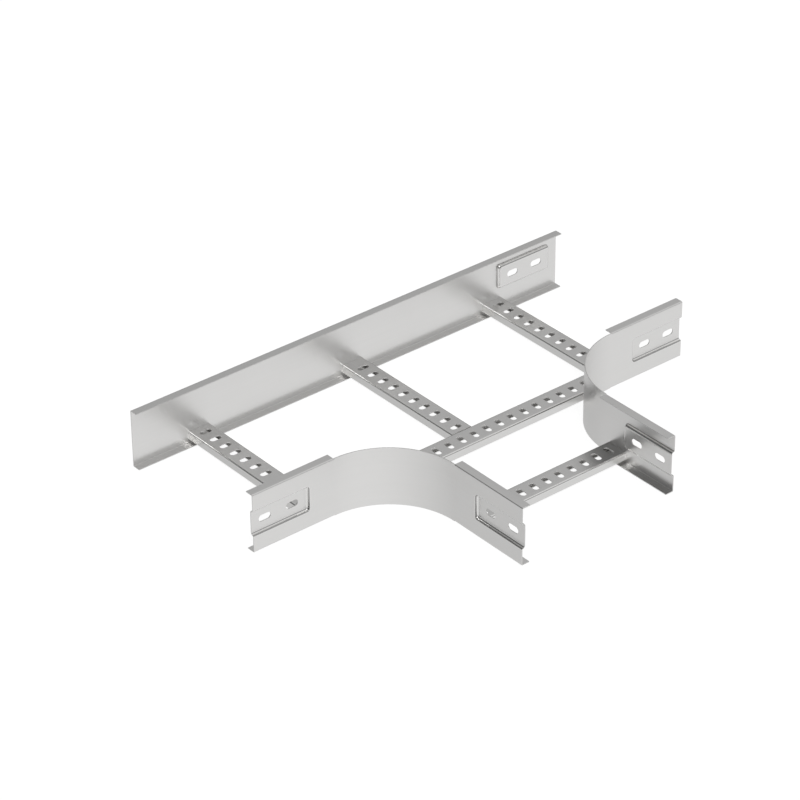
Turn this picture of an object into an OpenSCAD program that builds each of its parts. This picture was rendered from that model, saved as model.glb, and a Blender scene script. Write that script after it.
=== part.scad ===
// Cable ladder tee: a straight back rail, two corner rails that turn from the
// run into the branch, and five slotted rungs, all of folded sheet metal.
// X is along the run, the branch points to -Y and Z is up.
// The origin is the middle of the tee's outline, on the surface it stands on.

/* [Tee] */
// Height of the side rails
rail_h = 100; // [80:1:200]
// Width of the run over the outer faces of its rails
run_w = 300; // [200:5:600]
// Width of the branch over the outer faces of its rails
branch_w = 300; // [200:5:600]
// Radius of the corner rails' bend, at the outer face of the web
corner_r = 125; // [100:1:400]
// Straight length at each end of the run
arm_l = 150; // [130:1:400]
// Straight length at the end of the branch
branch_l = 150; // [130:1:400]

/* [Rail section] */
// Sheet thickness of the rails
rail_t = 1.5; // [1:0.1:2.5]
// Width of a flange over the web
flange_w = 15; // [10:0.5:25]
// Inner radius of the bend between web and flange
flange_bend = 0.5; // [0.3:0.1:3]

/* [Pressed pads] */
// Depth that a pad is pressed inwards
pad_d = 5; // [4:0.1:8]
// Height of a pad's flat
pad_h = 34; // [24:1:44]
// Length of a pad's flat
pad_l = 100; // [88:1:110]
// Inner radius of the bend from the web into a pad's edge
pad_web_bend = 0.5; // [0.3:0.1:2]
// Inner radius of the bend from a pad's edge into its flat
pad_flat_bend = 3.5; // [0.5:0.1:5]
// Steepest angle of a pad's edge to the web, in degrees
pad_wall_a = 76; // [50:1:80]
// Radius of the corners of a pad's flat, seen from the side
pad_corner_r = 1.5; // [1:0.5:10]
// From the back rail's right end to the flat of its pad
back_pad_end = 22.5; // [12:0.5:60]
// Height of the middle of the back rail's pad
back_pad_z = 60; // [40:1:60]

/* [Joint slots] */
// Length of a joint slot in a pad
slot_l = 22; // [14:1:30]
// Width of a joint slot in a pad
slot_w = 11; // [6:0.5:14]
// Distance between the two slots of a pad
slot_pitch = 50; // [36:1:60]
// From the start of a pad's flat to its first slot
slot_first = 25; // [16:1:30]

/* [Rung section] */
// Width of the rungs
rung_w = 40; // [30:1:60]
// Height of the rungs
rung_h = 15; // [10:0.5:25]
// Sheet thickness of the rungs
rung_t = 1.5; // [1:0.1:2]
// Outer radius of the rungs' bends
rung_r = 2.5; // [2.1:0.1:4]
// Width of the lips under a rung, over its side
rung_lip = 5.5; // [4.5:0.5:12]
// Height of the underside of the rungs
rung_z = 5; // [3:0.5:30]

/* [Rung slots] */
// Length of the slots across a rung
rung_slot_l = 20; // [10:1:24]
// Width of the slots across a rung
rung_slot_w = 9.5; // [4:0.5:14]
// Distance between the slots of a rung
rung_slot_pitch = 25; // [15:1:50]
// Least metal between the last slot and the end of a rung
rung_slot_edge = 5; // [3:0.5:20]
// From the back rail to the first slot of the left and right rungs
arm_rung_first = 16.5; // [12:0.5:40]
// From the back rail to the first slot of the middle rung
middle_rung_first = 26.5; // [12:0.5:40]
// From the left end of the cross rung to its first slot
cross_rung_first = 30.5; // [25:0.5:50]
// From the left leg to the first slot of the branch rung
branch_rung_first = 29; // [12:0.5:40]

/* [Rung places] */
// From the left end of the run to the middle of the left rung
left_rung_end = 123.5; // [60:0.5:130]
// From the right end of the run to the middle of the right rung
right_rung_end = 137; // [60:0.5:140]
// From the middle of the branch to the middle of the middle rung
middle_rung_x = -1.5; // [-60:0.5:60]
// From the end of the branch to the middle of the branch rung
branch_rung_end = 122; // [60:0.5:130]
// How far the cross rung stands out in front of the corner rails' arms
cross_rung_front = 6.5; // [2:0.5:20]
// How far the cross rung runs on past its front corner's seat on the curve
cross_rung_lap = 18; // [6:1:24]

/* [Hidden] */

$fn = 64;
// Overrun of cutting shapes past the faces they cut
cut = 1;
// Flats along each bend of a pad's edge
bend_steps = 6;

// Overall length along the run and overall depth with the branch
run_l = branch_w + 2 * corner_r + 2 * arm_l;
depth = run_w + corner_r + branch_l;

// Outer face of the back web, of the arms' webs, and the end of the branch
back_y = depth / 2;
arm_y = back_y - run_w;
branch_y = -depth / 2;

// Middle of the corner rails' bend, for the right one
bend_x = branch_w / 2 + corner_r;
bend_y = arm_y - corner_r;

// Outer radius of the bend between web and flange
flange_r = flange_bend + rail_t;

// Radii of the two bends in a pad's edge at mid sheet, and what they leave of its depth
pad_web_r = pad_web_bend + rail_t / 2;
pad_flat_r = pad_flat_bend + rail_t / 2;
pad_bends = pad_web_r + pad_flat_r;
pad_rise = pad_d - pad_bends;

// Width of a pad's edge to a hundredth, and its angle where the straight stretch touches both bends
pad_steep = min(pad_wall_a, acos(max(-1, 1 - pad_d / pad_bends)));
pad_slope = ceil(100 * (pad_bends + pad_rise * cos(pad_steep)) / sin(pad_steep)) / 100;
pad_a = atan2(pad_rise, pad_slope) + asin(pad_bends / norm([pad_slope, pad_rise]));

// Clear width between the rails for the rungs
run_in = run_w - 2 * rail_t;
branch_in = branch_w - 2 * rail_t;

// Front side of the cross rung, where that side meets the curved web, its ends
cross_y = arm_y - cross_rung_front;
cross_seat_x = bend_x - sqrt(pow(corner_r + rail_t, 2) - pow(cross_y - bend_y, 2));
cross_end_x = cross_seat_x + cross_rung_lap;

rail_colour = "gainsboro";
rung_colour = "silver";

// Outline with round corners, from the origin
module round_rect(w, h, r) {
    translate([r, 0])
        square([w - 2 * r, h]);
    translate([0, r])
        square([w, h - 2 * r]);
    for (x = [r, w - r], y = [r, h - r])
        translate([x, y])
            circle(r = r);
}

// Slot outline with round ends, centred, along x
module slot_outline(l, w) {
    square([l - w, w], center = true);
    for (x = [-1, 1] * (l - w) / 2)
        translate([x, 0])
            circle(d = w);
}

// Places a section drawn in y and z so that it runs along +X for a length
module along_x(l) {
    rotate([90, 0, 90])
        linear_extrude(l)
            children();
}

// Rail section: outer face of the web on the Z axis, flanges towards +Y
module rail_section() {
    intersection() {
        difference() {
            round_rect(2 * flange_w, rail_h, flange_r);
            translate([rail_t, rail_t])
                round_rect(2 * (flange_w - rail_t), rail_h - 2 * rail_t, flange_r - rail_t);
        }
        square([flange_w, rail_h]);
    }
}

// Points along a bend about a centre, from one angle to another
function bend_points(centre, r, from, to) = [
    for (i = [0 : bend_steps])
        let (a = from + (to - from) * i / bend_steps)
            centre + r * [cos(a), sin(a)]
];

// Section of a pad's sloped edge: out from the flat in x, depth of the sheet in y
module pad_edge_section() {
    flat_bend = [0, pad_d + rail_t / 2 - pad_flat_r];
    web_bend = [pad_slope, rail_t / 2 + pad_web_r];
    polygon(concat(
        bend_points(flat_bend, pad_flat_r + rail_t / 2, 90, 90 - pad_a),
        bend_points(web_bend, pad_web_bend, 270 - pad_a, 270),
        bend_points(web_bend, pad_web_r + rail_t / 2, 270, 270 - pad_a),
        bend_points(flat_bend, pad_flat_bend, 90 - pad_a, 90)
    ));
}

// Plate in the X-Z plane with round corners, around the middle of a pad
module pad_plate(l, h, r, from, thick) {
    translate([-l / 2, from + thick, -h / 2])
        rotate([90, 0, 0])
            linear_extrude(thick)
                round_rect(l, h, r);
}

// Opening in the web that a pad's pressed edge fills
module pad_window(l) {
    pad_plate(l + 2 * pad_slope, pad_h + 2 * pad_slope, pad_corner_r + pad_slope, -cut, rail_t + 2 * cut);
}

// Pressed pad around its middle: the flat, four sloped sides and four round corners
module pad(l) {
    side_l = l - 2 * pad_corner_r;
    side_h = pad_h - 2 * pad_corner_r;
    pad_plate(l, pad_h, pad_corner_r, pad_d, rail_t);
    for (flip = [0, 1]) {
        mirror([0, 0, flip])
            translate([side_l / 2, 0, pad_h / 2])
                rotate([0, -90, 0])
                    linear_extrude(side_l)
                        pad_edge_section();
        mirror([flip, 0, 0])
            translate([l / 2, 0, -side_h / 2])
                linear_extrude(side_h)
                    pad_edge_section();
    }
    for (flip_x = [0, 1], flip_z = [0, 1])
        mirror([flip_x, 0, 0])
            mirror([0, 0, flip_z])
                translate([side_l / 2, 0, side_h / 2])
                    rotate([-90, 0, 0])
                        rotate([0, 0, -90])
                            rotate_extrude(angle = 90)
                                translate([pad_corner_r, 0])
                                    pad_edge_section();
}

// The two slots of a pad, from the start of its flat along +X
module joint_slots() {
    for (i = [0, 1])
        translate([slot_first + i * slot_pitch, pad_d - cut, 0])
            rotate([-90, 0, 0])
                linear_extrude(rail_t + 2 * cut)
                    slot_outline(slot_l, slot_w);
}

// Straight rail from its end at x = 0 along +X, web's outer face on y = 0, with
// a slotted pad. Its flat starts at pad_x; an open pad runs out of the rail's end.
module padded_rail(l, pad_x, pad_z, open) {
    over = open ? pad_corner_r + pad_slope : 0;
    shown_l = pad_l + over;
    middle_x = pad_x + pad_l - shown_l / 2;
    difference() {
        union() {
            difference() {
                along_x(l)
                    rail_section();
                translate([middle_x, 0, pad_z])
                    pad_window(shown_l);
            }
            intersection() {
                translate([middle_x, 0, pad_z])
                    pad(shown_l);
                cube([l, pad_d + rail_t, rail_h]);
            }
        }
        translate([pad_x, 0, pad_z])
            joint_slots();
    }
}

// Corner rail on the left: an arm, a curved web without flanges and a leg
module corner_rail() {
    translate([-run_l / 2, arm_y, 0])
        padded_rail(arm_l, 0, rail_h / 2, true);
    translate([-bend_x, bend_y, 0])
        rotate_extrude(angle = 90)
            translate([corner_r, 0])
                square([rail_t, rail_h]);
    translate([-branch_w / 2, branch_y, 0])
        mirror([1, -1, 0])
            padded_rail(branch_l, 0, rail_h / 2, true);
}

// Rung section around the middle of its width: a channel open below, with lips
module rung_section() {
    translate([-rung_w / 2, 0])
        difference() {
            round_rect(rung_w, rung_h, rung_r);
            translate([rung_t, rung_t])
                round_rect(rung_w - 2 * rung_t, rung_h - 2 * rung_t, rung_r - rung_t);
            translate([rung_lip, -cut])
                square([rung_w - 2 * rung_lip, rung_t + 2 * cut]);
        }
}

// Rung along +X from x = 0, with as many slots as its length holds
module rung(l, first) {
    last = l - rung_slot_edge - rung_slot_w / 2;
    difference() {
        along_x(l)
            rung_section();
        for (x = [first : rung_slot_pitch : last])
            translate([x, 0, rung_h - rung_t - cut])
                rotate([0, 0, 90])
                    linear_extrude(rung_t + 2 * cut)
                        slot_outline(rung_slot_l, rung_slot_w);
    }
}

// Rung that starts square on the back rail and runs towards -Y
module run_rung(x, l, first) {
    translate([x, back_y - rail_t, rung_z])
        rotate([0, 0, -90])
            rung(l, first);
}

module back_rail() {
    color(rail_colour)
        translate([run_l / 2, back_y, 0])
            rotate([0, 0, 180])
                padded_rail(run_l, back_pad_end, back_pad_z, false);
}

module left_corner_rail() {
    color(rail_colour)
        corner_rail();
}

module right_corner_rail() {
    color(rail_colour)
        mirror([1, 0, 0])
            corner_rail();
}

module left_rung() {
    color(rung_colour)
        run_rung(left_rung_end - run_l / 2, run_in, arm_rung_first);
}

module middle_rung() {
    color(rung_colour)
        run_rung(middle_rung_x, back_y - rail_t - cross_y - rung_w, middle_rung_first);
}

module right_rung() {
    color(rung_colour)
        run_rung(run_l / 2 - right_rung_end, run_in, arm_rung_first);
}

// Its ends are cut to the inner faces of the curved webs
module cross_rung() {
    color(rung_colour)
        difference() {
            translate([-cross_end_x, cross_y + rung_w / 2, rung_z])
                rung(2 * cross_end_x, cross_rung_first);
            for (side = [-1, 1])
                translate([side * bend_x, bend_y, 0])
                    cylinder(h = rail_h, r = corner_r + rail_t);
        }
}

module branch_rung() {
    color(rung_colour)
        translate([-branch_in / 2, branch_y + branch_rung_end, rung_z])
            rung(branch_in, branch_rung_first);
}

back_rail();
left_corner_rail();
right_corner_rail();
left_rung();
middle_rung();
right_rung();
cross_rung();
branch_rung();
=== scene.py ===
"""Cable ladder tee in satin steel: folded rails with pressed pads, slotted channel rungs, a plain studio."""
import logging
import math
from collections.abc import Iterable
from dataclasses import dataclass, field
from enum import Enum

import bmesh
import bpy
from bmesh.types import BMEdge, BMesh, BMFace, BMVert
from mathutils import Matrix, Quaternion, Vector


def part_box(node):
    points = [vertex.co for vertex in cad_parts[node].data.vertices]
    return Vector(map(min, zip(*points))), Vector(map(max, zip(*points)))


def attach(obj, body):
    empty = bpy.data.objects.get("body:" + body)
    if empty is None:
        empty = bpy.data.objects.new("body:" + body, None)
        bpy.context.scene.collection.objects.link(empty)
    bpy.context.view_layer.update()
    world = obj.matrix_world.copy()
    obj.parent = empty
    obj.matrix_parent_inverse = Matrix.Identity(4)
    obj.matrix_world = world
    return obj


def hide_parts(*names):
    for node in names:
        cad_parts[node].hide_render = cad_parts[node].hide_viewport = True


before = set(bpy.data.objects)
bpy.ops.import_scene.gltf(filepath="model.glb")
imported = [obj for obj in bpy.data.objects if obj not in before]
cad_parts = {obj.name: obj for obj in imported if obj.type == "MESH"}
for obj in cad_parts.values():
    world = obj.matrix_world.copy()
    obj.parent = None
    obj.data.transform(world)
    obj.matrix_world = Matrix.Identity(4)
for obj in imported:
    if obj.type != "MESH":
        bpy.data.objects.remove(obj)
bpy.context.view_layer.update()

LOG = logging.getLogger("cable_ladder_tee")
MM = 0.001
QUARTER = math.pi / 2
WELD = 0.001 * MM  # points closer than this are merged
NEAR = 0.01 * MM  # points closer than this count as in one line
SAME_WAY = 0.99  # cosine from which a face counts as looking in a direction
WHITE = (1, 1, 1, 1)
X, Y, Z = Vector((1, 0, 0)), Vector((0, 1, 0)), Vector((0, 0, 1))
GRAIN = "grain"
BURNISH = "burnish"
# Attribute that darkens the colour along the pads' web-side bends: painted shade in the crease.
PAINTED_BEND_SHADE = "painted_bend_shade"


class Hand(Enum):
    """Side of the branch that a corner rail leads into, as the sign of its X."""

    LEFT = -1
    RIGHT = 1


class PadEnd(Enum):
    """How a pressed pad ends at the free end of its rail."""

    OPEN = "runs out of the rail's end"
    CLOSED = "has a sloped edge all round"


class Fold(Enum):
    """Long side of a flat sheet along which it is folded, as the sign of its Y."""

    LOW = -1
    HIGH = 1


class NodeBoard:
    """A node tree that nodes are added to one line at a time."""

    def __init__(self, tree: bpy.types.NodeTree) -> None:
        """Clears the tree and keeps it."""
        self.tree = tree
        tree.nodes.clear()

    def add(self, kind: str, inputs: dict | None = None, **settings: object) -> bpy.types.Node:
        """Adds one node.

        Args:
            kind: Blender's type name of the node, without its "ShaderNode" start.
            inputs: Socket name or index to a plain value, or to an output socket that is linked to it.
            settings: Properties of the node itself.

        Returns:
            The new node.
        """
        node = self.tree.nodes.new("ShaderNode" + kind)
        for name, value in settings.items():
            setattr(node, name, value)
        for name, value in (inputs or {}).items():
            if isinstance(value, bpy.types.NodeSocket):
                self.tree.links.new(value, node.inputs[name])
            else:
                node.inputs[name].default_value = value
        return node


@dataclass(frozen=True)
class SatinSteel:
    """Satin face of rolled steel sheet: fine grain along the piece, faint streaks and clouds.

    Attributes:
        name: Name of the material.
        colour: Reflected colour of the metal.
        roughness: Mean roughness.
        cloud_spread: Roughness that the clouds add or take away.
        streak_shade: Darkest streak as a share of the colour.
        grain_depth: Height of the rolled grain, in metres.
        burnish: Roughness that the tools take away on pressed edges and tight bends.
        painted_shade_share: Colour of the painted shade along the pads' web-side bends, as a share of the
            sheet's.
        streak_scale: Streaks per metre along, up and through the sheet.
        line_scale: Lines of the grain per metre along, up and through the sheet.
        cloud_scale: Clouds per metre.
        noise_span: Part of a noise's range that streaks and clouds are read from.
        grain_strength: Strength of the grain's bump.
    """

    name: str
    colour: tuple[float, float, float]
    roughness: float
    cloud_spread: float = 0.02
    streak_shade: float = 0.985
    grain_depth: float = 0.004 * MM
    burnish: float = 0.14
    painted_shade_share: float = 0.45
    streak_scale: tuple[float, float, float] = (5, 260, 260)
    line_scale: tuple[float, float, float] = (40, 2400, 2400)
    cloud_scale: float = 14.0
    noise_span: tuple[float, float] = (0.3, 0.7)
    grain_strength: float = 0.5

    def material(self) -> bpy.types.Material:
        """Builds the finish on the piece's own grain and burnish attributes, with painted shade darkening
        the colour along the pads' bends.

        Returns:
            The material.
        """
        made = bpy.data.materials.new(self.name)
        made.use_nodes = True
        board = NodeBoard(made.node_tree)
        grain = board.add("Attribute", attribute_name=GRAIN).outputs["Vector"]
        drawn = board.add("Mapping", {"Vector": grain, "Scale": self.streak_scale}).outputs[0]
        streaks = board.add("TexNoise", {
            "Vector": drawn, "Scale": 1.0, "Detail": 4.0, "Roughness": 0.6,
        }).outputs["Fac"]
        clouds = board.add("TexNoise", {
            "Vector": grain, "Scale": self.cloud_scale, "Detail": 3.0,
        }).outputs["Fac"]
        rolled = board.add("Mapping", {"Vector": grain, "Scale": self.line_scale}).outputs[0]
        lines = board.add("TexNoise", {"Vector": rolled, "Scale": 1.0, "Detail": 2.0}).outputs["Fac"]
        low, high = self.noise_span
        shade = board.add("ValToRGB", {"Fac": streaks})
        streak, plain = shade.color_ramp.elements
        streak.position = low
        streak.color = (*(c * self.streak_shade for c in self.colour), 1)
        plain.position = high
        plain.color = (*self.colour, 1)
        rough = board.add("MapRange", {
            "Value": clouds, "From Min": low, "From Max": high,
            "To Min": self.roughness - self.cloud_spread, "To Max": self.roughness + self.cloud_spread,
        })
        pressed = board.add("Attribute", attribute_name=BURNISH).outputs["Fac"]
        burnished = board.add("Math", {
            0: pressed, 1: -self.burnish, 2: rough.outputs["Result"],
        }, operation="MULTIPLY_ADD")
        # Painted shade: the colour darkens along the pads' web-side bends, where the crease looks dark.
        marks = board.add("Attribute", attribute_name=PAINTED_BEND_SHADE).outputs["Fac"]
        bend_darkening = board.add("MapRange", {"Value": marks, "To Min": 1.0, "To Max": self.painted_shade_share})
        painted_shade_colour = board.add("VectorMath", {
            0: shade.outputs["Color"], "Scale": bend_darkening.outputs["Result"],
        }, operation="SCALE")
        bump = board.add("Bump", {
            "Height": lines, "Strength": self.grain_strength, "Distance": self.grain_depth,
        })
        metal = board.add("BsdfPrincipled", {
            "Base Color": painted_shade_colour.outputs["Vector"], "Metallic": 1.0,
            "Roughness": burnished.outputs[0], "Normal": bump.outputs["Normal"],
        })
        board.add("OutputMaterial", {"Surface": metal.outputs["BSDF"]})
        return made


@dataclass(frozen=True)
class ShearedEdge:
    """Raw cut edge of the sheet: a bright burnished band that breaks into a dull torn one.

    Attributes:
        name: Name of the material.
        colour: Reflected colour of the metal.
        bright: Roughness of the burnished marks.
        dull: Roughness of the torn marks.
        tear_depth: Height of the torn marks, in metres.
        tear_scale: Torn marks per metre.
        tear_strength: Strength of their bump.
    """

    name: str
    colour: tuple[float, float, float]
    bright: float = 0.3
    dull: float = 0.6
    tear_depth: float = 0.03 * MM
    tear_scale: float = 900.0
    tear_strength: float = 0.6

    def material(self) -> bpy.types.Material:
        """Builds the finish on Object coordinates.

        Returns:
            The material.
        """
        made = bpy.data.materials.new(self.name)
        made.use_nodes = True
        board = NodeBoard(made.node_tree)
        place = board.add("TexCoord").outputs["Object"]
        tears = board.add("TexNoise", {
            "Vector": place, "Scale": self.tear_scale, "Detail": 3.0,
        }).outputs["Fac"]
        rough = board.add("MapRange", {"Value": tears, "To Min": self.bright, "To Max": self.dull})
        bump = board.add("Bump", {
            "Height": tears, "Strength": self.tear_strength, "Distance": self.tear_depth,
        })
        metal = board.add("BsdfPrincipled", {
            "Base Color": (*self.colour, 1), "Metallic": 1.0,
            "Roughness": rough.outputs["Result"], "Normal": bump.outputs["Normal"],
        })
        board.add("OutputMaterial", {"Surface": metal.outputs["BSDF"]})
        return made


def rounded_face(
    bm: BMesh,
    low: tuple[float, float],
    high: tuple[float, float],
    radius: float,
    steps: int,
    square_x: float | None = None,
) -> BMFace:
    """Makes a flat face on the XY plane with round corners.

    Args:
        bm: Mesh that the face goes into.
        low: Lowest corner.
        high: Highest corner.
        radius: Radius of the round corners.
        steps: Flats around each corner.
        square_x: Corners at this X stay square; None rounds all four.

    Returns:
        The face.
    """
    before = set(bm.faces)
    middle = Vector((low[0] + high[0], low[1] + high[1], 0)) / 2
    size = Matrix.Diagonal((high[0] - low[0], high[1] - low[1], 1, 1))
    corners = bmesh.ops.create_grid(
        bm, x_segments=1, y_segments=1, size=0.5, matrix=Matrix.Translation(middle) @ size
    )["verts"]
    rounded = [v for v in corners if square_x is None or abs(v.co.x - square_x) > NEAR]
    bmesh.ops.bevel(
        bm, geom=rounded, offset=radius, offset_type="OFFSET", segments=steps, profile=0.5,
        affect="VERTICES", clamp_overlap=False, material=-1,
    )
    made = [v for f in bm.faces if f not in before for v in f.verts]
    bmesh.ops.remove_doubles(bm, verts=made, dist=WELD)
    return next(f for f in bm.faces if f not in before)


def punch(bm: BMesh, sheet: BMFace, holes: list[BMFace]) -> None:
    """Replaces a flat face by one with holes.

    Args:
        bm: Mesh of the faces.
        sheet: Face to be punched.
        holes: Faces inside it whose outlines become holes.
    """
    outlines = [e for f in [sheet, *holes] for e in f.edges]
    bmesh.ops.delete(bm, geom=[sheet, *holes], context="FACES_ONLY")
    bmesh.ops.triangle_fill(bm, use_beauty=True, edges=outlines, normal=Z)


def mark(bm: BMesh, name: str, verts: Iterable[BMVert], amount: float) -> None:
    """Writes a value into a vertex attribute: polish that a tool has left, or painted shade along a bend.

    Args:
        bm: Mesh of the sheet.
        name: Name of the attribute.
        verts: Vertices that get the value.
        amount: The value, from 0 to 1.
    """
    layer = bm.verts.layers.float[name]
    for vertex in verts:
        vertex[layer] = amount


def bend(
    bm: BMesh, edges: list[BMEdge], centre: Vector, fold: Fold, steps: int, burnish: float = 0.0
) -> list[BMEdge]:
    """Folds a sheet a quarter turn about a line along X.

    Args:
        bm: Mesh of the sheet.
        edges: Edges that the bend starts from.
        centre: A point on the bend's axis.
        fold: Side of the sheet that is folded.
        steps: Flats along the bend.
        burnish: How far the die has polished the bend.

    Returns:
        The edges at the end of the bend.
    """
    before = set(bm.verts)
    turned = bmesh.ops.spin(
        bm, geom=edges, cent=centre, axis=-fold.value * X, angle=QUARTER, steps=steps, use_merge=False
    )["geom_last"]
    mark(bm, BURNISH, [v for v in bm.verts if v not in before and v not in turned], burnish)
    return [g for g in turned if isinstance(g, BMEdge)]


def run_on(bm: BMesh, edges: list[BMEdge], way: Vector) -> list[BMEdge]:
    """Carries a sheet straight on from some of its edges.

    Args:
        bm: Mesh of the sheet.
        edges: Edges that it is carried on from.
        way: Direction and length.

    Returns:
        The edges at the far side.
    """
    grown = bmesh.ops.extrude_edge_only(bm, edges=edges)["geom"]
    verts = [g for g in grown if isinstance(g, BMVert)]
    bmesh.ops.translate(bm, verts=verts, vec=way)
    return [g for g in grown if isinstance(g, BMEdge) and all(v in verts for v in g.verts)]


def axes(x: Vector, y: Vector, z: Vector, origin: Vector) -> Matrix:
    """Matrix that takes a sheet's own axes to these directions in the frame, from this origin."""
    return Matrix.Translation(origin) @ Matrix((x, y, z)).transposed().to_4x4()


@dataclass
class FoldedSheet:
    """A piece of folded sheet metal, built as its outer skin and thickened inwards.

    Attributes:
        node: CAD node that the piece stands for.
        slot: Material slot of the record; not used.
        face: Finish of the sheet's faces.
        edge: Finish of its cut edges.
        inside: Material of its inner faces, if it differs; on the rungs a darker copy of the steel that
            paints the shade inside the channel.
        gauge: Sheet thickness.
        edge_round: Rounding of the cut edges.
        edge_flats: Flats across that rounding.
        sharp: Least angle of an edge that is rounded.
        bend_steps: Flats along a quarter bend.
    """

    node: str
    slot: str
    face: bpy.types.Material
    edge: bpy.types.Material
    inside: bpy.types.Material | None = None
    gauge: float = 1.5 * MM
    edge_round: float = 0.15 * MM
    edge_flats: int = 2
    sharp: float = math.radians(50)
    bend_steps: int = 6

    def __post_init__(self) -> None:
        """Takes the piece's box from the frame."""
        self.low, self.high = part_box(self.node)
        self.middle = (self.low + self.high) / 2

    def skin(self, bm: BMesh) -> Vector:
        """Builds the outer skin in place.

        Args:
            bm: Empty mesh that it goes into.

        Returns:
            The direction that its largest face looks in.
        """
        raise NotImplementedError

    def grain(self, point: Vector) -> Vector:
        """Distance along the sheet, then its height and depth, for the finish."""
        return point

    def build(self) -> bpy.types.Object:
        """Builds the piece, dresses it and puts it in the CAD node's stead.

        Returns:
            The finished object.
        """
        bm = bmesh.new()
        bm.verts.layers.float.new(BURNISH)
        bm.verts.layers.float.new(PAINTED_BEND_SHADE)
        facing = self.skin(bm)
        bmesh.ops.remove_doubles(bm, verts=bm.verts, dist=WELD)
        bmesh.ops.recalc_face_normals(bm, faces=bm.faces)
        ways = [(f.calc_area(), f.normal.dot(facing)) for f in bm.faces]
        if sum(area * way for area, way in ways if abs(way) > SAME_WAY) < 0:
            bmesh.ops.reverse_faces(bm, faces=bm.faces)
        for f in bm.faces:
            f.smooth = True
        mesh = bpy.data.meshes.new(self.node)
        bm.to_mesh(mesh)
        bm.free()
        along = mesh.attributes.new(GRAIN, "FLOAT_VECTOR", "POINT")
        for vertex, value in zip(mesh.vertices, along.data):
            value.vector = self.grain(vertex.co)
        piece = bpy.data.objects.new(self.node + "_sheet", mesh)
        bpy.context.scene.collection.objects.link(piece)
        self.dress(piece)
        return piece

    def dress(self, piece: bpy.types.Object) -> None:
        """Gives a skin its thickness, rounded edges and finishes, and ties it to the frame.

        Args:
            piece: The object to dress.
        """
        piece.data.materials.append(self.face)
        piece.data.materials.append(self.edge)
        wall = piece.modifiers.new("gauge", "SOLIDIFY")
        wall.thickness = self.gauge
        wall.offset = -1
        wall.use_even_offset = True
        wall.use_quality_normals = True
        wall.material_offset_rim = 1
        # Inner faces get their own material; on the rungs it is darker, painted shade inside the channel.
        if self.inside:
            piece.data.materials.append(self.inside)
            wall.material_offset = 2
        rim = piece.modifiers.new("deburred_edges", "BEVEL")
        rim.width = self.edge_round
        rim.segments = self.edge_flats
        rim.limit_method = "ANGLE"
        rim.angle_limit = self.sharp
        rim.use_clamp_overlap = False
        shading = piece.modifiers.new("flat_faces", "WEIGHTED_NORMAL")
        shading.keep_sharp = True
        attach(piece, "root")
        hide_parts(self.node)


@dataclass(frozen=True)
class PressedPad:
    """Flat pad pressed into a web, with a steep edge of two bends around it.

    Attributes:
        length: Length of the flat.
        height: Height of the flat.
        depth: How far it is pressed in.
        slope: Width of the steep edge.
        web_bend: Inner radius of the bend from the web into the edge.
        flat_bend: Inner radius of the bend from the edge into the flat.
        corner_r: Radius of the flat's corners.
        bend_steps: Flats along each bend.
        corner_steps: Flats around each corner.
    """

    length: float = 100 * MM
    height: float = 34 * MM
    depth: float = 5 * MM
    slope: float = 5.55 * MM
    web_bend: float = 0.5 * MM
    flat_bend: float = 3.5 * MM
    corner_r: float = 1.5 * MM
    bend_steps: int = 8
    corner_steps: int = 8

    def edge_steps(self, gauge: float) -> list[tuple[float, float]]:
        """Follows the outer face of the steep edge from the web down to the flat.

        Args:
            gauge: Sheet thickness.

        Returns:
            Inset and sink of each ring from the one before it.
        """
        bends = self.web_bend + gauge + self.flat_bend
        rise = self.depth - bends
        angle = math.atan2(rise, self.slope) + math.asin(bends / math.hypot(self.slope, rise))
        wide, tight = self.web_bend + gauge, self.flat_bend
        turns = [angle * i / self.bend_steps for i in range(self.bend_steps + 1)]
        rings = [(self.slope - wide * math.sin(a), wide * (1 - math.cos(a))) for a in turns]
        rings += [(tight * math.sin(a), self.depth - tight * (1 - math.cos(a))) for a in reversed(turns)]
        return [(a[0] - b[0], b[1] - a[1]) for a, b in zip(rings, rings[1:])]


@dataclass(frozen=True)
class JointSlots:
    """The two bolt slots of a pad.

    Attributes:
        length: Length of a slot.
        width: Width of a slot.
        first: From the start of the pad's flat to the first slot.
        pitch: Distance between the slots.
        count: Number of slots.
        end_steps: Flats around a quarter of a slot's round end.
    """

    length: float = 22 * MM
    width: float = 11 * MM
    first: float = 25 * MM
    pitch: float = 50 * MM
    count: int = 2
    end_steps: int = 6


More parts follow.
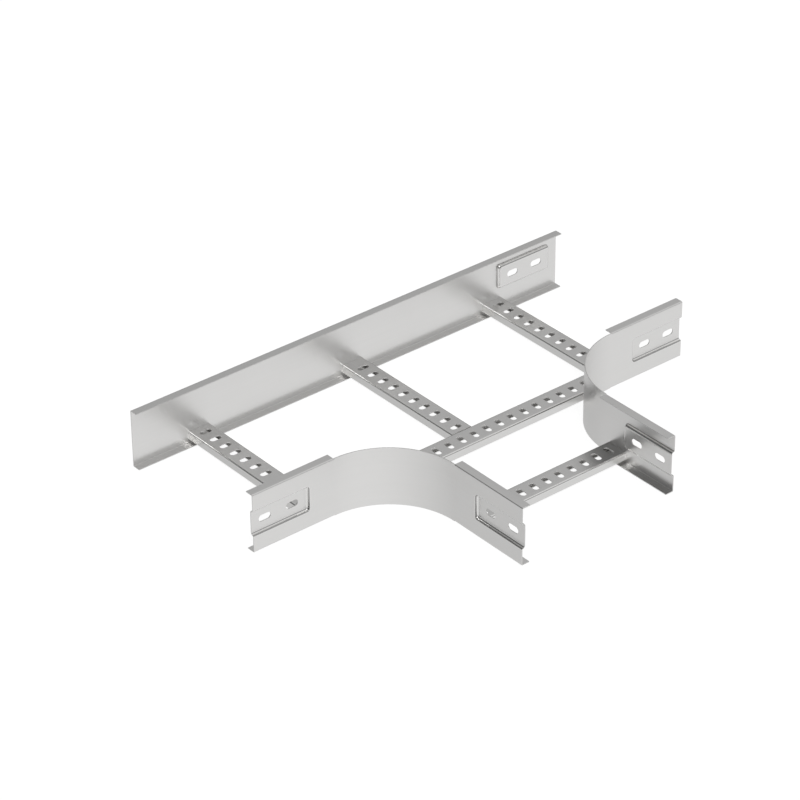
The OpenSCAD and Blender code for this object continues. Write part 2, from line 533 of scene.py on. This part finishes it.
@dataclass
class SideRail(FoldedSheet):
    """Channel rail with a slotted pad near its free end, before it is placed.

    Attributes:
        flange_w: Width of a flange over the web.
        flange_r: Outer radius of the flange bends.
        pad: The pressed pad.
        slots: The pad's bolt slots.
    """

    flange_w: float = 15 * MM
    flange_r: float = 2 * MM
    pad: PressedPad = field(default_factory=PressedPad)
    slots: JointSlots = field(default_factory=JointSlots)

    def straight(self, bm: BMesh, length: float, pad_x: float, pad_y: float, end: PadEnd) -> list[BMVert]:
        """Builds a straight stretch: web on the XY plane, free end at x = 0, flanges below it.

        Args:
            bm: Mesh that it goes into.
            length: Length of the stretch.
            pad_x: Start of the pad's flat.
            pad_y: Height of the pad's middle.
            end: How the pad ends at x = 0.

        Returns:
            The stretch's vertices.
        """
        before = set(bm.verts)
        flat = self.pad_outline(bm, pad_x, pad_y, end)
        rim = list(flat.edges)
        low, high = self.flange_r, self.high.z - self.low.z - self.flange_r
        corners = [bm.verts.new((x, y, 0)) for x, y in ((0, low), (length, low), (length, high), (0, high))]
        bottom, inner, top = (bm.edges.new(pair) for pair in zip(corners, corners[1:]))
        if end is PadEnd.OPEN:
            mouth = next(e for e in rim if all(abs(v.co.x) < WELD for v in e.verts))
            rim.remove(mouth)
            ends = sorted(mouth.verts, key=lambda v: v.co.y)
            sides = [bm.edges.new((corners[0], ends[0])), bm.edges.new((corners[3], ends[1]))]
        else:
            sides = [bm.edges.new((corners[3], corners[0]))]
        outlines = [bottom, inner, top, *sides, *rim]
        bmesh.ops.triangle_fill(bm, use_beauty=True, edges=outlines, normal=Z)
        rings = self.pad.edge_steps(self.gauge)
        for ring, (inset, sink) in enumerate(rings, start=1):
            bmesh.ops.inset_region(
                bm, faces=[flat], thickness=inset, depth=-sink, use_even_offset=True, use_boundary=False
            )
            mark(bm, BURNISH, flat.verts, float(ring < len(rings)))
            # Painted shade on the second half of the web-side bend.
            mark(bm, PAINTED_BEND_SHADE, flat.verts, float(self.pad.bend_steps / 2 < ring <= self.pad.bend_steps))
        places = [pad_x + self.slots.first + i * self.slots.pitch for i in range(self.slots.count)]
        punch(bm, flat, [self.slot_face(bm, x, pad_y) for x in places])
        for fold, edge, level in ((Fold.LOW, bottom, low), (Fold.HIGH, top, high)):
            lip = bend(bm, [edge], Vector((0, level, -self.flange_r)), fold, self.bend_steps)
            run_on(bm, lip, Vector((0, 0, self.flange_r - self.flange_w)))
        return [v for v in bm.verts if v not in before]

    def pad_outline(self, bm: BMesh, pad_x: float, pad_y: float, end: PadEnd) -> BMFace:
        """Makes the face in the web that the pad is pressed from.

        Args:
            bm: Mesh that it goes into.
            pad_x: Start of the pad's flat.
            pad_y: Height of the pad's middle.
            end: How the pad ends at x = 0.

        Returns:
            The face, still level with the web.
        """
        pad = self.pad
        half = pad.height / 2 + pad.slope
        start = 0 if end is PadEnd.OPEN else pad_x - pad.slope
        return rounded_face(
            bm, (start, pad_y - half), (pad_x + pad.length + pad.slope, pad_y + half),
            pad.corner_r + pad.slope, pad.corner_steps, start if end is PadEnd.OPEN else None,
        )

    def slot_face(self, bm: BMesh, x: float, y: float) -> BMFace:
        """Makes the face that a bolt slot takes out of the pad.

        Args:
            bm: Mesh that it goes into.
            x: Middle of the slot along the rail.
            y: Middle of the slot up the rail.

        Returns:
            The face, level with the pad's flat.
        """
        half_l, half_w = self.slots.length / 2, self.slots.width / 2
        low, high = (x - half_l, y - half_w), (x + half_l, y + half_w)
        made = rounded_face(bm, low, high, half_w, self.slots.end_steps)
        bmesh.ops.translate(bm, verts=made.verts, vec=(0, 0, -self.pad.depth))
        return made


@dataclass
class BackRail(SideRail):
    """Straight rail along the back of the run, with a pad near its right end.

    Attributes:
        pad_end: From the right end to the pad's flat.
        pad_z: Height of the pad's middle.
    """

    pad_end: float = 22.5 * MM
    pad_z: float = 60 * MM

    def skin(self, bm: BMesh) -> Vector:
        """Builds the rail from its right end.

        Args:
            bm: Empty mesh that it goes into.

        Returns:
            The direction that the web looks in.
        """
        self.straight(bm, self.high.x - self.low.x, self.pad_end, self.pad_z, PadEnd.CLOSED)
        bm.transform(axes(-X, Z, Y, Vector((self.high.x, self.high.y, self.low.z))))
        return Y


@dataclass
class CornerRail(SideRail):
    """Rail that turns from an arm of the run into a leg of the branch.

    Its curve is a plain web of full height.

    Attributes:
        hand: Side of the branch.
        corner_r: Radius of the curve, at the outer face of the web.
        curve_steps: Flats along the curve.
    """

    hand: Hand = Hand.LEFT
    corner_r: float = 125 * MM
    curve_steps: int = 32

    def __post_init__(self) -> None:
        """Finds the curve's middle, as seen on the left hand, from the piece's box."""
        super().__post_init__()
        inner_x = -min(abs(self.low.x), abs(self.high.x))
        self.end_x = -max(abs(self.low.x), abs(self.high.x))
        self.arm_y = self.high.y - self.flange_w
        self.leg_x = inner_x - self.flange_w
        self.curve_mid = Vector((self.leg_x - self.corner_r, self.arm_y - self.corner_r, 0))

    def skin(self, bm: BMesh) -> Vector:
        """Builds the arm, the leg and the curve between them on the left hand, then mirrors them if asked.

        Args:
            bm: Empty mesh that they go into.

        Returns:
            The direction that the arm's web looks in.
        """
        arm_l = self.curve_mid.x - self.end_x
        leg_l = self.curve_mid.y - self.low.y
        pad_y = (self.high.z - self.low.z) / 2
        arm_place = axes(X, Z, -Y, Vector((self.end_x, self.arm_y, self.low.z)))
        leg_place = axes(Y, Z, -X, Vector((self.leg_x, self.low.y, self.low.z)))
        for length, place in ((arm_l, arm_place), (leg_l, leg_place)):
            stretch = self.straight(bm, length, 0, pad_y, PadEnd.OPEN)
            bmesh.ops.transform(bm, matrix=place, verts=stretch)
        seam = next(e for e in bm.edges if e.is_boundary and all(self.on_seam(v.co) for v in e.verts))
        line = [seam]
        for near, level in zip(sorted(seam.verts, key=lambda v: v.co.z), (self.low.z, self.high.z)):
            line.append(bm.edges.new((near, bm.verts.new((near.co.x, near.co.y, level)))))
        bmesh.ops.spin(
            bm, geom=line, cent=self.curve_mid, axis=-Z, angle=QUARTER,
            steps=self.curve_steps, use_merge=False,
        )
        bm.transform(Matrix.Diagonal((-self.hand.value, 1, 1, 1)))
        return -Y

    def on_seam(self, point: Vector) -> bool:
        """Tells if a point lies where the arm's web turns into the curve."""
        return abs(point.x - self.curve_mid.x) < NEAR and abs(point.y - self.arm_y) < NEAR

    def grain(self, point: Vector) -> Vector:
        """Follows the web round the curve, from where the arm turns into it.

        Args:
            point: A point of the rail.

        Returns:
            Distance along the sheet, then its height and depth.
        """
        spot = Vector((-self.hand.value * point.x, point.y, point.z)) - self.curve_mid
        if spot.x < 0:
            return Vector((spot.x, spot.z, spot.y))
        if spot.y < 0:
            return Vector((self.corner_r * QUARTER - spot.y, spot.z, spot.x))
        return Vector((self.corner_r * math.atan2(spot.x, spot.y), spot.z, spot.xy.length))


@dataclass
class Rung(FoldedSheet):
    """Slotted channel rung, open below, with lips.

    Attributes:
        bend_r: Outer radius of its bends.
        lip: Width of a lip over its side.
        slot_l: Length of a slot, across the rung.
        slot_w: Width of a slot.
        pitch: Distance between slots.
        first: From the rung's start to its first slot.
        spare: Least metal between the last slot and the rung's end.
        slot_steps: Flats around a quarter of a slot's round end.
        burnish: How far the die has polished its upper bends.
    """

    bend_r: float = 2.5 * MM
    lip: float = 5.5 * MM
    slot_l: float = 20 * MM
    slot_w: float = 9.5 * MM
    pitch: float = 25 * MM
    first: float = 16.5 * MM
    spare: float = 5 * MM
    slot_steps: int = 5
    burnish: float = 1.0

    def channel(self, bm: BMesh, length: float, width: float) -> None:
        """Builds the skin along +X from x = 0, its top on the XY plane.

        Args:
            bm: Mesh that it goes into.
            length: Length of the rung.
            width: Width of the rung.
        """
        radius = self.bend_r
        side = width / 2 - radius
        height = self.high.z - self.low.z
        top = self.top(bm, length, side)
        folds = [
            (fold, [e for e in top.edges if all(v.co.y * fold.value > 0 for v in e.verts)])
            for fold in Fold
        ]
        last = length - self.spare - self.slot_w / 2
        count = int((last - self.first) / self.pitch) + 1
        punch(bm, top, [self.slot_face(bm, self.first + i * self.pitch) for i in range(count)])
        for fold, edges in folds:
            y = fold.value * side
            edges = bend(bm, edges, Vector((0, y, -radius)), fold, self.bend_steps, self.burnish)
            edges = run_on(bm, edges, Vector((0, 0, 2 * radius - height)))
            edges = bend(bm, edges, Vector((0, y, radius - height)), fold, self.bend_steps)
            run_on(bm, edges, Vector((0, fold.value * (radius - self.lip), 0)))

    def top(self, bm: BMesh, length: float, side: float) -> BMFace:
        """Makes the flat of the rung's top, this far to each side of its middle."""
        corners = ((0, -side, 0), (length, -side, 0), (length, side, 0), (0, side, 0))
        return bm.faces.new([bm.verts.new(corner) for corner in corners])

    def slot_face(self, bm: BMesh, x: float) -> BMFace:
        """Makes the face that a slot takes out of the top, at a distance from the rung's start."""
        half_w, half_l = self.slot_w / 2, self.slot_l / 2
        return rounded_face(bm, (x - half_w, -half_l), (x + half_w, half_l), half_w, self.slot_steps)


@dataclass
class RunRung(Rung):
    """Rung across the run, from the back rail towards the branch."""

    def skin(self, bm: BMesh) -> Vector:
        """Builds the rung from the back rail.

        Args:
            bm: Empty mesh that it goes into.

        Returns:
            The direction that the top looks in.
        """
        self.channel(bm, self.high.y - self.low.y, self.high.x - self.low.x)
        bm.transform(axes(-Y, X, Z, Vector((self.middle.x, self.high.y, self.high.z))))
        return Z

    def grain(self, point: Vector) -> Vector:
        """Runs along the rung."""
        return point.yxz


@dataclass
class BranchRung(Rung):
    """Rung across the branch, between its legs."""

    def skin(self, bm: BMesh) -> Vector:
        """Builds the rung from its left end.

        Args:
            bm: Empty mesh that it goes into.

        Returns:
            The direction that the top looks in.
        """
        self.channel(bm, self.high.x - self.low.x, self.high.y - self.low.y)
        bm.transform(axes(X, Y, Z, Vector((self.low.x, self.middle.y, self.high.z))))
        return Z


@dataclass
class CrossRung(BranchRung):
    """Long rung across the mouth of the branch, its ends cut to the curved webs.

    Attributes:
        corners: The two corner rails that it ends on.
        cuts: Flat cuts that make up each curved end.
    """

    corners: tuple[CornerRail, ...] = ()
    cuts: int = 4

    def skin(self, bm: BMesh) -> Vector:
        """Builds the rung, then trims both ends.

        Args:
            bm: Empty mesh that it goes into.

        Returns:
            The direction that the top looks in.
        """
        facing = super().skin(bm)
        for rail in self.corners:
            self.trim(bm, rail)
        return facing

    def trim(self, bm: BMesh, rail: CornerRail) -> None:
        """Cuts one end to the inner face of a curved web.

        Args:
            bm: Mesh of the rung.
            rail: Corner rail that the end meets.
        """
        reach = rail.corner_r + rail.gauge
        centre = Vector((-rail.hand.value * rail.curve_mid.x, rail.curve_mid.y, 0))
        nearest = math.asin(min(1, (abs(centre.x) - self.high.x) / reach))
        farthest = math.acos((self.low.y - centre.y) / reach)
        for i in range(self.cuts):
            turn = nearest + (farthest - nearest) * (i + 0.5) / self.cuts
            out = Vector((-rail.hand.value * math.sin(turn), math.cos(turn), 0))
            bmesh.ops.bisect_plane(
                bm, geom=[*bm.verts, *bm.edges, *bm.faces], dist=WELD,
                plane_co=centre + reach * out, plane_no=out, clear_inner=True,
            )


@dataclass
class Studio:
    """Pale floor under a ceiling of soft light, in a white room.

    Attributes:
        floor_r: Radius of the floor.
        floor_sides: Sides of its outline.
        floor_drop: How far the floor lies under the tee, so that faces don't coincide.
        floor_colour: Grey of the floor's paint.
        camera_paint: Grey of the paint that the camera sees over the glow.
        camera_glow: White that the camera sees with no lamp.
        ground: How the white that the metal sees below the horizon grows along X, Y and Z.
        ground_level: That white at its mean.
        horizon: Height over which the white below blends into the room.
        ceiling: How the light grows along X, Y and Z.
        level: Light at the horizon.
        dimmest: Least light of the walls.
        key: Direction of the soft key light, beside the camera.
        key_level: Light that the key adds at its middle.
        key_focus: How narrow the key is, as a power of the cosine.
    """

    floor_r: float = 12.0
    floor_sides: int = 64
    floor_drop: float = 0.2 * MM
    floor_colour: float = 0.85
    camera_paint: float = 0.25
    camera_glow: float = 0.89
    ground: tuple[float, float, float] = (-0.01, -0.15, 0.0)
    ground_level: float = 0.695
    horizon: float = 0.1
    ceiling: tuple[float, float, float] = (0.45, -0.07, 1.11)
    level: float = -0.344
    dimmest: float = 0.105
    key: tuple[float, float, float] = (-0.36, -0.6, 0.714)
    key_level: float = 6.0
    key_focus: float = 60.0

    def build(self) -> None:
        """Builds the floor and the light."""
        self.floor()
        self.light()

    def floor(self) -> None:
        """Builds the round floor."""
        bm = bmesh.new()
        bmesh.ops.create_circle(
            bm, cap_ends=True, segments=self.floor_sides, radius=self.floor_r,
            matrix=Matrix.Translation((0, 0, -self.floor_drop)),
        )
        mesh = bpy.data.meshes.new("floor")
        bm.to_mesh(mesh)
        bm.free()
        made = bpy.data.objects.new("floor", mesh)
        bpy.context.scene.collection.objects.link(made)
        mesh.materials.append(self.floor_material())

    def floor_material(self) -> bpy.types.Material:
        """Makes the floor's paint: white with the tee's shadow to the camera, clear to the metal.

        Returns:
            The material.
        """
        made = bpy.data.materials.new("studio_floor")
        made.use_nodes = True
        board = NodeBoard(made.node_tree)
        rays = board.add("LightPath").outputs
        glow = board.add("Math", {0: rays["Is Camera Ray"], 1: self.camera_glow}, operation="MULTIPLY")
        grey = board.add("Math", {
            0: rays["Is Camera Ray"], 1: self.camera_paint - self.floor_colour, 2: self.floor_colour,
        }, operation="MULTIPLY_ADD")
        mirrored = board.add("Math", {
            0: rays["Is Glossy Ray"], 1: rays["Is Transmission Ray"],
        }, operation="MAXIMUM")
        passed = board.add("Math", {0: mirrored.outputs[0], 1: rays["Is Shadow Ray"]}, operation="MAXIMUM")
        paint = board.add("BsdfDiffuse", {"Color": grey.outputs[0]})
        white = board.add("Emission", {"Color": WHITE, "Strength": glow.outputs[0]})
        lit = board.add("AddShader", {0: paint.outputs[0], 1: white.outputs[0]})
        clear = board.add("BsdfTransparent", {"Color": WHITE})
        whole = board.add("MixShader", {0: passed.outputs[0], 1: lit.outputs[0], 2: clear.outputs[0]})
        board.add("OutputMaterial", {"Surface": whole.outputs[0]})
        made.cycles.emission_sampling = "NONE"
        return made

    def light(self) -> None:
        """Makes the room's light: bright above, dim at the walls, with a soft key beside the camera.

        The metal sees white below the horizon, and the camera sees the whole room plain white.
        """
        made = bpy.data.worlds.new("studio")
        made.use_nodes = True
        bpy.context.scene.world = made
        board = NodeBoard(made.node_tree)
        way = board.add("TexCoord").outputs["Generated"]
        slope = board.add("VectorMath", {0: way, 1: self.ceiling}, operation="DOT_PRODUCT").outputs["Value"]
        raised = board.add("Math", {0: slope, 1: self.level}, operation="ADD")
        level = board.add("Math", {0: raised.outputs[0], 1: self.dimmest}, operation="MAXIMUM")
        beside = board.add("VectorMath", {0: way, 1: self.key}, operation="DOT_PRODUCT").outputs["Value"]
        facing = board.add("Math", {0: beside, 1: 0.0}, operation="MAXIMUM")
        lobe = board.add("Math", {0: facing.outputs[0], 1: self.key_focus}, operation="POWER")
        total = board.add("Math", {
            0: lobe.outputs[0], 1: self.key_level, 2: level.outputs[0],
        }, operation="MULTIPLY_ADD")
        spread = board.add("VectorMath", {0: way, 1: self.ground}, operation="DOT_PRODUCT").outputs["Value"]
        below = board.add("Math", {0: spread, 1: self.ground_level}, operation="ADD")
        height = board.add("SeparateXYZ", {0: way}).outputs["Z"]
        above = board.add("MapRange", {
            "Value": height, "From Min": -self.horizon, "From Max": self.horizon,
        }, interpolation_type="SMOOTHSTEP")
        both = board.add("Mix", {
            "Factor": above.outputs["Result"], "A": below.outputs[0], "B": total.outputs[0],
        }, data_type="FLOAT")
        light = board.add("Background", {"Color": WHITE, "Strength": both.outputs["Result"]})
        white = board.add("Background", {"Color": WHITE, "Strength": 1.0})
        seen = board.add("MixShader", {
            0: board.add("LightPath").outputs["Is Camera Ray"], 1: light.outputs[0], 2: white.outputs[0],
        })
        board.add("OutputWorld", {"Surface": seen.outputs[0]})


@dataclass
class PictureCamera:
    """Camera at the picture's viewing angle.

    Attributes:
        azimuth: Degrees to the right of the view along +Y.
        elevation: Degrees above the horizon.
        roll: Degrees that the camera leans to the left.
        distance: From the aim point.
        lens: Focal length in millimetres.
        sensor: Width of the sensor in millimetres.
        farthest: Distance in metres up to which the camera sees.
        aim: Point on the tee that is in the middle of the picture.
    """

    azimuth: float = -39.203
    elevation: float = 32.132
    roll: float = -0.529
    distance: float = 5226.2 * MM
    lens: float = 153.99
    sensor: float = 36.0
    farthest: float = 100.0
    aim: tuple[float, float, float] = (-48.21 * MM, 111.29 * MM, 50.0 * MM)

    def build(self) -> None:
        """Places the camera and makes it the scene's own."""
        turn, tilt = math.radians(self.azimuth), math.radians(self.elevation)
        back = Vector((math.sin(turn) * math.cos(tilt), -math.cos(turn) * math.cos(tilt), math.sin(tilt)))
        made = bpy.data.objects.new("camera", bpy.data.cameras.new("camera"))
        made.data.sensor_width = self.sensor
        made.data.lens = self.lens
        made.data.clip_end = self.farthest
        made.location = Vector(self.aim) + back * self.distance
        made.rotation_mode = "QUATERNION"
        lean = Quaternion(Z, math.radians(self.roll))
        made.rotation_quaternion = (-back).to_track_quat("-Z", "Y") @ lean
        bpy.context.scene.collection.objects.link(made)
        bpy.context.scene.camera = made


def main() -> None:
    """Builds the tee piece by piece, then the studio and the camera."""
    logging.basicConfig(level=logging.INFO, format="%(name)s: %(message)s")
    bpy.context.scene.view_settings.view_transform = "Standard"
    rail_face = SatinSteel("satin_rail_steel", colour=(0.84, 0.835, 0.825), roughness=0.3).material()
    rung_face = SatinSteel("satin_rung_steel", colour=(0.82, 0.815, 0.805), roughness=0.3).material()
    # Darker copy of the rung steel on the inner faces: painted shade inside the channels.
    rung_inside_painted_shade = SatinSteel("dull_rung_steel_painted_shade", colour=(0.6, 0.595, 0.585), roughness=0.4).material()
    cut_edge = ShearedEdge("sheared_edge", colour=(0.78, 0.775, 0.765)).material()
    rails = {"slot": "rails", "face": rail_face, "edge": cut_edge}
    rungs = {"slot": "rungs", "face": rung_face, "edge": cut_edge, "inside": rung_inside_painted_shade}
    left = CornerRail("left_corner_rail", hand=Hand.LEFT, **rails)
    right = CornerRail("right_corner_rail", hand=Hand.RIGHT, **rails)
    pieces = [
        BackRail("back_rail", **rails),
        left,
        right,
        RunRung("left_rung", first=16.5 * MM, **rungs),
        RunRung("middle_rung", first=26.5 * MM, **rungs),
        RunRung("right_rung", first=16.5 * MM, **rungs),
        CrossRung("cross_rung", first=30.5 * MM, corners=(left, right), **rungs),
        BranchRung("branch_rung", first=29 * MM, **rungs),
    ]
    for piece in pieces:
        made = piece.build()
        LOG.info("%s: %d skin faces", made.name, len(made.data.polygons))
    Studio().build()
    PictureCamera().build()


if __name__ == "__main__":
    main()
